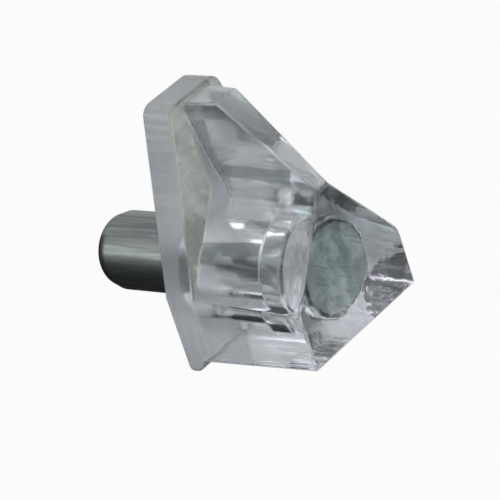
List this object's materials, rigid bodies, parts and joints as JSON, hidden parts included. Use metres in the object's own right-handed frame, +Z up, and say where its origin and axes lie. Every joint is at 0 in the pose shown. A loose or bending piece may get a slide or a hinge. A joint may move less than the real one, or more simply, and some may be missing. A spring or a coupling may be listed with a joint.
{
  "type": "shelf support pin",
  "caption": "Clear moulded shelf bracket with a flat seat, a webbed wall plate and a moulded-in headed steel pin for a 5 mm hole.",
  "frame": {"origin": "on the pin's axis, in the plane of the plate's back face, where the support meets the cabinet side", "axes": "+Y along the pin into the cabinet side, +Z up out of the seat, X across the width"},
  "size_m": [0.011, 0.0186, 0.0167],
  "materials": {
    "clear_plastic": "clear gloss moulding with a faint grey tint",
    "pin_steel": "turned steel, nickel plated"
  },
  "bodies": {
    "root": {"support_body": "clear_plastic", "steel_pin": "pin_steel"}
  },
  "joints": []
}
